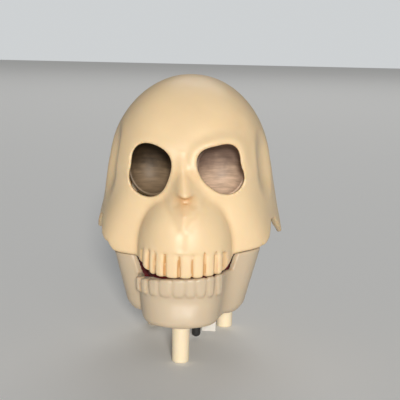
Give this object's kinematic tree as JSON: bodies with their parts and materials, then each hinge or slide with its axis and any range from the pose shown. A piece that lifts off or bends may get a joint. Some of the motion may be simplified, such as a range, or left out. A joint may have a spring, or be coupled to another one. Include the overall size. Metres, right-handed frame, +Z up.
{
  "type": "toy skull head",
  "caption": "Small moulded toy skull head on three posts, with glossy eye cups and a sprung, hinged lower jaw worked by a push rod and lever.",
  "frame": {"origin": "middle of the overall box in X and Y, at floor level under the posts", "axes": "+Z up, -Y the way the face looks, +X to the right of someone facing it"},
  "size_m": [0.0528, 0.0426, 0.0717],
  "materials": {
    "skull_ivory": "satin moulded",
    "body_ivory": "satin moulded",
    "jaw_ivory": "satin moulded",
    "cup_grey": "glossy, slightly metallic",
    "black_plastic": "satin",
    "deep_red": "satin",
    "white_plastic": "satin",
    "steel": "plain"
  },
  "bodies": {
    "head": {"skull_shell": "skull_ivory", "inner_chassis": "body_ivory", "eye_cup_left": "cup_grey", "eye_retainer_left": "black_plastic", "eye_cup_right": "cup_grey", "eye_retainer_right": "black_plastic", "mouth_liner": "deep_red", "front_post": "body_ivory", "rear_post_left": "body_ivory", "rear_post_right": "body_ivory", "front_post_screw": "steel", "rear_post_left_screw": "steel", "rear_post_right_screw": "steel", "chassis_screw_1": "steel", "chassis_screw_2": "steel", "chassis_screw_3": "steel", "chassis_screw_4": "steel", "liner_screw_1": "steel", "liner_screw_2": "steel", "jaw_pin_left": "steel", "jaw_spring_left": "steel", "jaw_pin_right": "steel", "jaw_spring_right": "steel"},
    "jaw": {"lower_jaw": "jaw_ivory", "jaw_lever": "white_plastic", "lever_screw": "steel"},
    "rod": {"push_rod": "black_plastic", "rod_collar": "black_plastic"}
  },
  "joints": [
    {"name": "jaw_hinge", "type": "hinge", "parent": "head", "child": "jaw", "pos_m": [0, 0.00035, 0.0315], "axis": [1, 0, 0], "range_deg": [0, 5.7], "stiffness_Nm_per_rad": 0.01, "springref_deg": -8.59},
    {"name": "rod_slide", "type": "slide", "parent": "head", "child": "rod", "axis": [0, 0, 1], "range_m": [0, 0.00055]}
  ],
  "couplings": [
    {"joint": "rod_slide", "follows": "jaw_hinge", "m_per_rad": 0.0051}
  ]
}
